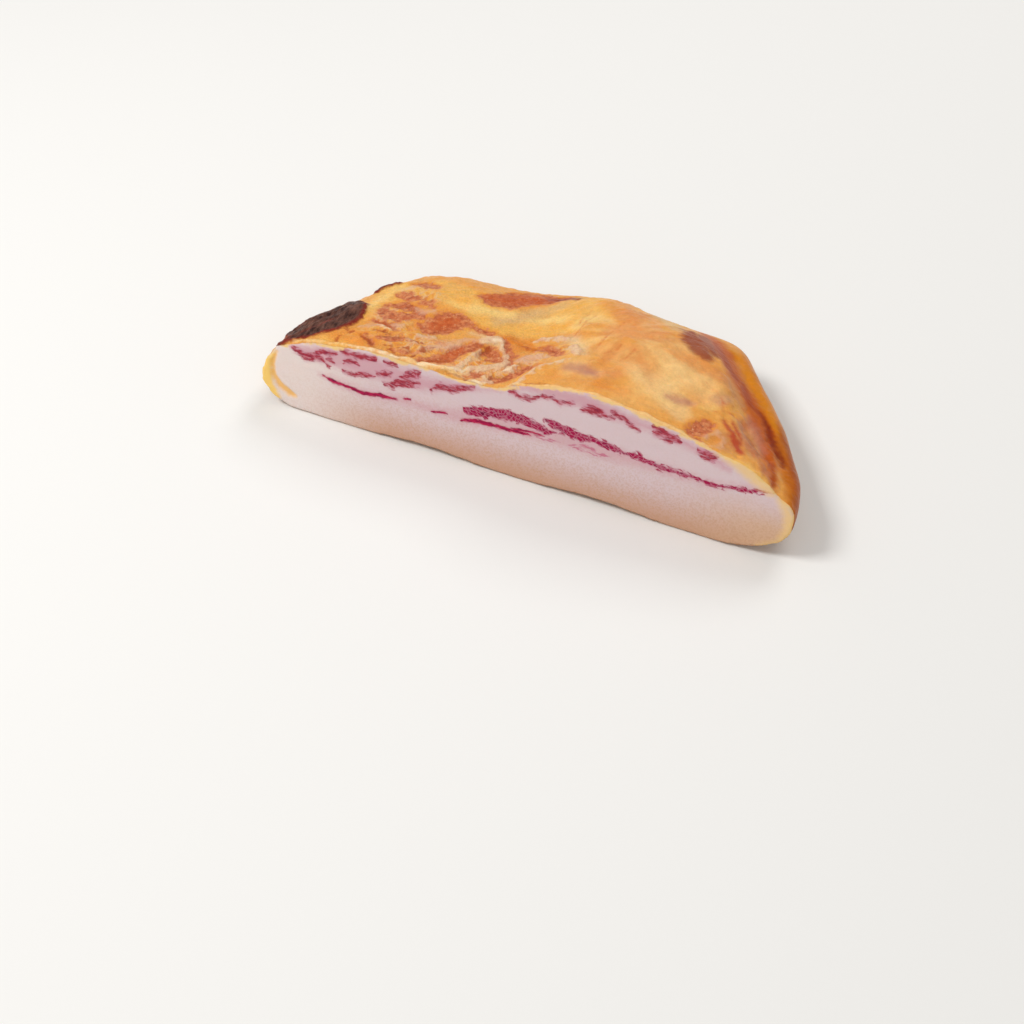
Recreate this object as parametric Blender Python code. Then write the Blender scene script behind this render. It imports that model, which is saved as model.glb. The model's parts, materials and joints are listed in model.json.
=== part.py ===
"""One half of a cured pork jowl, lying on its rind with the meat side up.

The whole jowl is modelled as a low loaf: a rim outline seen from above, a flat rind
below it and a rounded, sloping meat side above it. The surface then gets its lumps,
folds, crusts and seam, and a leaning plane cuts the loaf in two. The back half is kept.

Metres, +Z up. X runs along the cut face and +Y runs back from it.
"""

import math

import bmesh
import bpy
from mathutils import Vector, noise

MM = 0.001

# Outline of the rim from above: the kept half from right to left, then the part cut away.
RIM_POINTS = [
    (135.5 * MM, -8 * MM),
    (133.5 * MM, 25 * MM),
    (118 * MM, 56 * MM),
    (97 * MM, 85 * MM),
    (75 * MM, 109 * MM),
    (36 * MM, 112 * MM),
    (-6 * MM, 118 * MM),
    (-50 * MM, 109 * MM),
    (-91 * MM, 106 * MM),
    (-113 * MM, 76 * MM),
    (-126 * MM, 40 * MM),
    (-134.5 * MM, 6 * MM),
    (-122 * MM, -46 * MM),
    (-66 * MM, -74 * MM),
    (66 * MM, -74 * MM),
    (122 * MM, -46 * MM),
]
SPINE_Y = -34 * MM  # the line that the surface closes in on, in the part cut away
SPINE_SHARE = 0.65  # of the rim's reach in X

# The section, from the rind round the rim to the meat side: left end, middle, right end.
RIM_HEIGHT = (15 * MM, 17 * MM, 19 * MM)
RIND_ROUND = (30 * MM, 30 * MM, 52 * MM)
MEAT_ROUND = (46 * MM, 28 * MM, 48 * MM)

# Thickness along the cut: it falls to both ends, and steps up past a shallow waist.
THICKNESS = 47.5 * MM
LEFT_FALL = 8 * MM
LEFT_FALL_START = -60 * MM
LEFT_FALL_END = -130 * MM
WAIST_AT = -15 * MM
WAIST_WIDTH = 34 * MM
WAIST_DROP = 1.5 * MM
STEP_RISE = 10.5 * MM
STEP_START = -22 * MM
STEP_END = 28 * MM
RIGHT_FALL = 13 * MM
FALL_START = 40 * MM
FALL_END = 135 * MM
BACK_SLOPE = 0.17  # how fast the meat side falls towards the back

CUT_LEAN = math.radians(9)

# The rind lifts off the ground in two low waves along the cut.
RIND_WAVE = 88 * MM
RIND_LIFT = 2.4 * MM
RIND_FLAT_FROM = 36 * MM  # behind this the rind lies flat

# Soft lumps over the meat side.
LUMP_SIZE = 42 * MM
LUMP_RISE = 2.2 * MM
DIMPLE_SIZE = 15 * MM
DIMPLE_RISE = 0.7 * MM

# Raised folds of fat: the line that each follows, how high it stands and how wide it is.
FOLDS = [
    {"line": [(-46, 6), (-37, 13), (-34, 30), (-31, 53)], "rise": 1.6 * MM, "width": 5 * MM},
    {"line": [(-31, 53), (-22, 47), (-15, 34), (-16, 22)], "rise": 1.3 * MM, "width": 4 * MM},
    {"line": [(16, 72), (33, 61), (50, 58), (74, 53), (98, 42)], "rise": 1.2 * MM, "width": 7 * MM},
    {"line": [(62, 88), (77, 70), (84, 55), (92, 36), (99, 16)], "rise": 1.4 * MM, "width": 6 * MM},
    {"line": [(-84, 84), (-66, 60), (-60, 34)], "rise": 1.2 * MM, "width": 8 * MM},
    {"line": [(-30, 104), (-2, 84), (14, 62)], "rise": 1.4 * MM, "width": 9 * MM},
]

# A flap of fat whose edge stands up across the step, and fades away to its right.
FLAP_LINE = [(-4, 4), (-2, 18), (0, 31), (10, 39), (24, 50)]
FLAP_RISE = 2.4 * MM
FLAP_EDGE = 2 * MM
FLAP_FADE = 30 * MM

# Dark dried crusts, each a tapered patch that stands proud of the surface.
CRUSTS = [
    {"start": (-124, 6), "end": (-109, 44), "radii": (4 * MM, 14 * MM), "rise": 2.8 * MM},
    {"start": (-106, 68), "end": (-96, 84), "radii": (3 * MM, 5 * MM), "rise": 2 * MM},
]
CRUST_EDGE = 2.5 * MM

# The seam on the right end, where the fat under the meat layer bulges out.
SEAM_HEIGHT = 31 * MM
SEAM_BAND = 4 * MM
SEAM_STEP = 1.3 * MM
SEAM_FROM = 55 * MM
SEAM_FULL = 85 * MM

STATIONS = 156  # round the rim
FLAT_ROWS = 9  # across the rind
UNDER_ROWS = 6  # from the rind to the rim
OVER_ROWS = 10  # from the rim to the meat side
MEAT_ROWS = 24  # across the meat side
CENTRE_GAP = 0.02  # share of the way to the spine that the last row leaves open


def smooth(value, start, end):
    """Rises from 0 at start to 1 at end, level at both."""
    t = min(max((value - start) / (end - start), 0.0), 1.0)
    return t * t * (3 - 2 * t)


def along(values, x):
    """Blends three sizes: left end, middle and right end of the piece."""
    reach = RIM_POINTS[0][0]
    left, middle, right = values
    if x < 0:
        return middle + (left - middle) * smooth(-x, 0, reach)
    return middle + (right - middle) * smooth(x, 0, reach)


def closed_spline(points, count):
    """Evenly stepped points on a Catmull-Rom curve through a closed loop."""
    spline = []
    for i in range(count):
        place = i * len(points) / count
        k = int(place)
        t = place - k
        a, b, c, d = (Vector(points[(k + j) % len(points)]) for j in (-1, 0, 1, 2))
        slope = (c - a) * t
        bend = (2 * a - 5 * b + 4 * c - d) * t**2
        twist = (3 * b - a - 3 * c + d) * t**3
        spline.append((2 * b + slope + bend + twist) / 2)
    return spline


def meat_height(x, y):
    """Height of the meat side before its edge is rounded."""
    height = THICKNESS
    height -= LEFT_FALL * smooth(-x, -LEFT_FALL_START, -LEFT_FALL_END)
    height -= WAIST_DROP * (1 - smooth(abs(x - WAIST_AT), 0, WAIST_WIDTH))
    height += STEP_RISE * smooth(x, STEP_START, STEP_END)
    height -= RIGHT_FALL * smooth(x, FALL_START, FALL_END)
    return height - BACK_SLOPE * max(y, 0)


def section(rim):
    """One section of the loaf, as points from under the spine round the rim to above it."""
    spine = Vector((rim.x * SPINE_SHARE, SPINE_Y))
    inward = spine - rim
    reach = inward.length * (1 - CENTRE_GAP)
    inward.normalize()
    rim_height = along(RIM_HEIGHT, rim.x)
    under = along(RIND_ROUND, rim.x)
    over = along(MEAT_ROUND, rim.x)
    points = []
    for i in range(FLAT_ROWS):
        place = rim + inward * (reach + (under - reach) * i / FLAT_ROWS)
        points.append((place.x, place.y, 0))
    for i in range(UNDER_ROWS):
        angle = math.pi / 2 * (1 - i / UNDER_ROWS)
        place = rim + inward * under * (1 - math.cos(angle))
        points.append((place.x, place.y, rim_height * (1 - math.sin(angle))))
    for i in range(OVER_ROWS):
        angle = math.pi / 2 * i / OVER_ROWS
        place = rim + inward * over * (1 - math.cos(angle))
        rise = meat_height(place.x, place.y) - rim_height
        points.append((place.x, place.y, rim_height + rise * math.sin(angle)))
    for i in range(MEAT_ROWS + 1):
        place = rim + inward * (over + (reach - over) * i / MEAT_ROWS)
        points.append((place.x, place.y, meat_height(place.x, place.y)))
    return points


def loaf():
    """The whole jowl as one closed mesh."""
    mesh = bmesh.new()
    columns = []
    for rim in closed_spline(RIM_POINTS, STATIONS):
        columns.append([mesh.verts.new(point) for point in section(rim)])
    for i, column in enumerate(columns):
        after = columns[(i + 1) % STATIONS]
        for j in range(len(column) - 1):
            mesh.faces.new((column[j], after[j], after[j + 1], column[j + 1]))
    mesh.faces.new([column[0] for column in reversed(columns)])
    mesh.faces.new([column[-1] for column in columns])
    bmesh.ops.recalc_face_normals(mesh, faces=mesh.faces[:])
    return mesh


def from_line(place, line):
    """How far a place is from a line given in mm, which side it is on (right is +), and how far along."""
    nearest, side, travelled, at = math.inf, 1, 0.0, 0.0
    for first, second in zip(line, line[1:]):
        start = Vector(first) * MM
        run = Vector(second) * MM - start
        share = min(max((place - start).dot(run) / run.length_squared, 0.0), 1.0)
        offset = place - start - run * share
        if offset.length < nearest:
            nearest = offset.length
            side = 1 if run.y * offset.x - run.x * offset.y > 0 else -1
            at = travelled + run.length * share
        travelled += run.length
    return nearest, side, at / travelled


def fold_rise(place):
    """The folds: rounded ridges that run out at both ends."""
    rise = 0.0
    for fold in FOLDS:
        distance, side, share = from_line(place, fold["line"])
        if distance < fold["width"]:
            crest = (1 - (distance / fold["width"]) ** 2) ** 2
            rise += fold["rise"] * crest * math.sqrt(math.sin(math.pi * share))
    return rise


def flap_rise(place):
    """The flap: up in one step across its edge, then slowly down again."""
    distance, side, share = from_line(place, FLAP_LINE)
    step = smooth(distance * side, -FLAP_EDGE / 2, FLAP_EDGE / 2)
    fade = 1 - smooth(distance, FLAP_EDGE, FLAP_FADE)
    return FLAP_RISE * step * fade * smooth(share, 0, 0.3) * (1 - smooth(share, 0.7, 1))


def crust_rise(place):
    """The crusts: flat-topped patches, wider towards their far ends."""
    rise = 0.0
    for crust in CRUSTS:
        distance, side, share = from_line(place, [crust["start"], crust["end"]])
        near, far = crust["radii"]
        inside = near + (far - near) * share - distance
        rise += crust["rise"] * smooth(inside, 0, CRUST_EDGE) * smooth(share, -0.5, 0.5)
    return rise


def seam_step(point):
    """The fat below the seam stands out, and the meat layer above it falls back."""
    below = 1 - 2 * smooth(point.z, SEAM_HEIGHT - SEAM_BAND / 2, SEAM_HEIGHT + SEAM_BAND / 2)
    near = 1 - smooth(abs(point.z - SEAM_HEIGHT), SEAM_BAND, 3 * SEAM_BAND)
    return SEAM_STEP * below * near * smooth(point.x, SEAM_FROM, SEAM_FULL)


def add_relief(mesh):
    """Moves each point of the meat side and the rim out along its normal."""
    mesh.normal_update()
    moves = []
    for vertex in mesh.verts:
        point = vertex.co
        place = point.xy
        amount = LUMP_RISE * noise.noise(point / LUMP_SIZE)
        amount += DIMPLE_RISE * noise.noise(point / DIMPLE_SIZE)
        amount += fold_rise(place) + flap_rise(place) + crust_rise(place) + seam_step(point)
        amount *= smooth(point.z, 3 * MM, 14 * MM)
        moves.append(vertex.normal * amount)
    for vertex, move in zip(mesh.verts, moves):
        vertex.co += move


def lift_rind(mesh):
    """The two low waves of the rind, highest at the cut."""
    for vertex in mesh.verts:
        x, y, z = vertex.co
        wave = (1 - math.cos(math.tau * x / RIND_WAVE)) / 2
        share = (1 - smooth(y, 0, RIND_FLAT_FROM)) * (1 - smooth(z, 0, 14 * MM))
        if abs(x) < RIND_WAVE:
            vertex.co.z += RIND_LIFT * wave * share


def cut_in_half(mesh):
    """Keeps what lies behind the leaning plane, and closes the cut with one flat face."""
    normal = Vector((0, -math.cos(CUT_LEAN), math.sin(CUT_LEAN)))
    cut = bmesh.ops.bisect_plane(
        mesh,
        geom=mesh.verts[:] + mesh.edges[:] + mesh.faces[:],
        dist=0.01 * MM,
        plane_co=(0, 0, 0),
        plane_no=normal,
        clear_outer=True,
    )
    edges = [item for item in cut["geom_cut"] if isinstance(item, bmesh.types.BMEdge)]
    bmesh.ops.contextual_create(mesh, geom=edges)


def centre(mesh):
    """Puts the origin under the middle of the piece's box."""
    lowest = Vector(min(vertex.co[axis] for vertex in mesh.verts) for axis in range(3))
    highest = Vector(max(vertex.co[axis] for vertex in mesh.verts) for axis in range(3))
    middle = (lowest + highest) / 2
    bmesh.ops.translate(mesh, verts=mesh.verts[:], vec=(-middle.x, -middle.y, -lowest.z))


def cured_pork():
    """Pale orange outer fat, as one plain finish."""
    material = bpy.data.materials.new("cured pork fat")
    material.use_nodes = True
    shader = material.node_tree.nodes["Principled BSDF"]
    shader.inputs["Base Color"].default_value = (0.78, 0.47, 0.22, 1)
    shader.inputs["Roughness"].default_value = 0.45
    return material


def main():
    for old in list(bpy.data.objects):
        bpy.data.objects.remove(old)
    mesh = loaf()
    add_relief(mesh)
    lift_rind(mesh)
    cut_in_half(mesh)
    centre(mesh)
    bmesh.ops.triangulate(mesh, faces=mesh.faces[:])
    data = bpy.data.meshes.new("guanciale")
    mesh.to_mesh(data)
    mesh.free()
    data.materials.append(cured_pork())
    data.shade_smooth()
    data.set_sharp_from_angle(angle=math.radians(50))
    piece = bpy.data.objects.new("guanciale", data)
    bpy.context.collection.objects.link(piece)


main()
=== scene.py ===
import json
import math

import bmesh
import bpy
import numpy as np
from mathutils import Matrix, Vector, noise
from mathutils.bvhtree import BVHTree

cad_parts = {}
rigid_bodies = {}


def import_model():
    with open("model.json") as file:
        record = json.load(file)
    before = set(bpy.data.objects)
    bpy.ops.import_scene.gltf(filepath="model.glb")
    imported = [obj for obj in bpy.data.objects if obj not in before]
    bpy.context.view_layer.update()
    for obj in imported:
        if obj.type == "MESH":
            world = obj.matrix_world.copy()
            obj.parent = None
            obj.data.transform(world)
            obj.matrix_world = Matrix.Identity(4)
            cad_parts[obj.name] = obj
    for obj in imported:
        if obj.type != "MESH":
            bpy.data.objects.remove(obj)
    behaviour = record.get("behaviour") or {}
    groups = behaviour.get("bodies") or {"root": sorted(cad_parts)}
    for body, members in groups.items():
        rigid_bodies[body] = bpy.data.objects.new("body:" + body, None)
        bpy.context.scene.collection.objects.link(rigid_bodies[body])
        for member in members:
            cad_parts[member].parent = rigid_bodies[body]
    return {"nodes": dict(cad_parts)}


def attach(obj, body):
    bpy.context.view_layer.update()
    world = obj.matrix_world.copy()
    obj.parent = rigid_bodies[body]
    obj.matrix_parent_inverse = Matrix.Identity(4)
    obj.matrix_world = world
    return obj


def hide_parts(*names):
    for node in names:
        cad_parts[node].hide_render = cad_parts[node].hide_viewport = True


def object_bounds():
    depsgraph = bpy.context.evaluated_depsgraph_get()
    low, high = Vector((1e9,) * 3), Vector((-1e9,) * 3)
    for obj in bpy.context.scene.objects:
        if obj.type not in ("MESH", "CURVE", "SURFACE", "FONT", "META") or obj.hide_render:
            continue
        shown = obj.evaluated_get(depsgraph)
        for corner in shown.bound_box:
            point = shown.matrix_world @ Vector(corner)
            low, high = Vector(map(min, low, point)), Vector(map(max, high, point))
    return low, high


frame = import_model()
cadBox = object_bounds()
mm = 0.001

# The half jowl: its solid in the frame, and how finely it is remade.
jowl = {
    "node": "guanciale",
    "slot": "cured_pork",
    "cutLean": math.radians(9),  # the cut face leans back
    "weld": 0.01,  # mm
    "cutMatch": 0.99,  # how well a face's normal has to agree with the cut's to be part of it
    "voxel": 1.0,  # mm
    "subdivisions": 2,
    "smoothing": 2,
    "skinSmoothing": 16,  # more rounds, but only where the cut is further off than edgeKept
    "edgeKept": 2.5,  # mm
}
cutNormal = Vector((0, -math.cos(jowl["cutLean"]), math.sin(jowl["cutLean"])))
cutFootY = cadBox[0].y / mm

# Besides the colours of the fat, meat and rind, a few of these are painted highlight, sheen and shade.
colours = {  # sRGB, matched to cured fat, meat and rind
    "gold": "#efb257",
    "goldLight": "#f6cb7c",
    "orangeGold": "#e8a14e",
    "orange": "#e4923f",
    "sunny": "#f2a840",
    "orangeDeep": "#dd8230",
    "peach": "#e8a762",
    "palePeach": "#efbd7c",
    "orangePeach": "#e49a5a",
    "fanDark": "#d88646",
    "fanLight": "#f4ca86",
    "pink": "#dc9e7c",
    "cream": "#e9c394",
    "greyGold": "#d9ad74",
    "mauveTan": "#c88e70",
    "tan": "#d08c54",
    "redTan": "#c4764e",
    "redBrown": "#c8703c",
    "amber": "#c86a02",
    # darker amber, partly painted shade
    "darkAmberAndShade": "#a84c06",
    # paler amber, partly painted highlight
    "paleAmberAndHighlight": "#dc860e",
    "yellow": "#f3c670",
    "rindTan": "#c08d58",
    "rindBrown": "#9a6638",
    "meatLight": "#d88b5c",
    "meat": "#c06645",
    "meatDark": "#a04c32",
    "film": "#e8c298",
    "filmPink": "#dba888",
    # the raised rim along the cut: pale gold fat, made lighter by a painted highlight
    "ridge": "#f5ca8a",
    # painted highlight: pale cream where light glints off the fat
    "gleam": "#fbe6c4",
    # painted shadow: the brown that shade takes in narrow folds
    "gap": "#9a5030",
    "fleck": "#b05426",
    "bruise": "#b87460",
    "plum": "#8c382f",
    "glow": "#bd5510",
    "seam": "#a4400e",
    "red": "#b8402a",
    "maroon": "#7c2210",
    "ember": "#c4541e",
    "vein": "#cc6c38",
    "crust": "#3c2420",
    # paler grey-brown of the dried crust, partly a painted sheen
    "crustLight": "#7c5446",
    "crustRim": "#862c20",
    "cutFat": "#ddc6c8",
    "cutLow": "#cd9f84",
    "cutRight": "#d8ae88",
    "cutGrain": "#c89878",
    "cutLeft": "#ead9d2",
    "mauve": "#cf97a2",
    "blush": "#cc8490",
    "rose": "#ae3a46",
    "roseDark": "#8c2a42",
    "crimson": "#a41848",
    "crimsonDark": "#7a103a",
    "crimsonLine": "#b81c4c",
    "faint": "#cc8095",
    "wisp": "#c4587a",
    "lip": "#fccc60",
    "groove": "#f4b858",
    "rimTop": "#f0c886",
    "rimBottom": "#9a6236",
}


def linear(hexColour):
    # sRGB hex to the linear colour that a shader wants
    parts = [int(hexColour[i:i + 2], 16) / 255 for i in (1, 3, 5)]
    return tuple(p / 12.92 if p < 0.04045 else ((p + 0.055) / 1.055) ** 2.4 for p in parts) + (1,)


paint = {name: linear(value) for name, value in colours.items()}


def pickOnly(piece):
    bpy.ops.object.select_all(action="DESELECT")
    piece.select_set(True)
    bpy.context.view_layer.objects.active = piece


def applyModifier(piece, kind, **settings):
    modifier = piece.modifiers.new(kind, kind)
    for name, value in settings.items():
        setattr(modifier, name, value)
    bpy.ops.object.modifier_apply(modifier=modifier.name)


def readVectors(items, key):
    flat = np.empty(len(items) * 3, np.float32)
    items.foreach_get(key, flat)
    return flat.reshape(-1, 3).astype(float)


def smooth(values, start, end):
    # 0 before start, 1 past end, and an even curve between
    t = np.clip((values - start) / (end - start), 0, 1)
    return t * t * (3 - 2 * t)


def lumps(points, size, octaves=3, seed=0):
    # soft noise, about -1 to 1, whose lumps are size mm across
    shift = Vector((seed * 17.3, seed * 5.1, seed * 9.7))
    return np.array([noise.fractal(Vector(p) / size + shift, 1, 2, octaves) for p in points])


def crests(points, across, along=None, heading=0.0, seed=0):
    # sharp crests from -1 to 1, across mm apart, drawn out along a heading seen from above
    along = along or across
    cosine, sine = math.cos(math.radians(heading)), math.sin(math.radians(heading))
    turned = np.stack([
        (points[:, 0] * cosine + points[:, 1] * sine) / along,
        (points[:, 1] * cosine - points[:, 0] * sine) / across,
        points[:, 2] / across + seed * 7.7,
    ], 1)
    return np.array([1 - 4 * abs(noise.noise(Vector(p))) for p in turned])


# The CAD solid with its cut edge kept sharp, remade as small even faces.
def makeBody():
    piece = bpy.data.objects.new("jowlHalf", frame["nodes"][jowl["node"]].data.copy())
    bpy.context.collection.objects.link(piece)
    pickOnly(piece)
    bpy.ops.mesh.customdata_custom_splitnormals_clear()
    piece.data.materials.clear()
    bpy.ops.object.mode_set(mode="EDIT")
    bpy.ops.mesh.select_all(action="SELECT")
    bpy.ops.mesh.remove_doubles(threshold=jowl["weld"] * mm)
    bpy.ops.mesh.tris_convert_to_quads()
    bpy.ops.mesh.select_all(action="DESELECT")
    bpy.ops.mesh.select_mode(type="FACE")
    mesh = bmesh.from_edit_mesh(piece.data)
    mesh.normal_update()
    for face in mesh.faces:
        face.select_set(face.normal.dot(cutNormal) > jowl["cutMatch"])
    bmesh.update_edit_mesh(piece.data)
    bpy.ops.mesh.region_to_loop()
    bpy.ops.transform.edge_crease(value=1)
    mesh = bmesh.from_edit_mesh(piece.data)
    rim = [[corner.co / mm for corner in edge.verts] for edge in mesh.edges if edge.select]
    bpy.ops.object.mode_set(mode="OBJECT")
    levels = jowl["subdivisions"]
    applyModifier(piece, "SUBSURF", levels=levels, render_levels=levels)
    applyModifier(piece, "REMESH", mode="VOXEL", voxel_size=jowl["voxel"] * mm)
    applyModifier(piece, "SMOOTH", factor=0.5, iterations=jowl["smoothing"])
    depth = onCut(readVectors(piece.data.vertices, "co") / mm)[2]
    skin = piece.vertex_groups.new(name="skin")
    skin.add(np.flatnonzero(depth > jowl["edgeKept"]).tolist(), 1, "REPLACE")
    applyModifier(piece, "SMOOTH", factor=0.5, iterations=jowl["skinSmoothing"], vertex_group=skin.name)
    piece.vertex_groups.clear()
    print("body:", len(piece.data.vertices), "points,", len(rim), "edges round the cut")
    return piece, np.array(rim)


# Place along the cut, height up it and depth behind it, in mm.
def onCut(points):
    lean = jowl["cutLean"]
    back = points[..., 1] - cutFootY
    height = points[..., 2] * math.cos(lean) + back * math.sin(lean)
    depth = back * math.cos(lean) - points[..., 2] * math.sin(lean)
    return points[..., 0], height, depth


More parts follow.
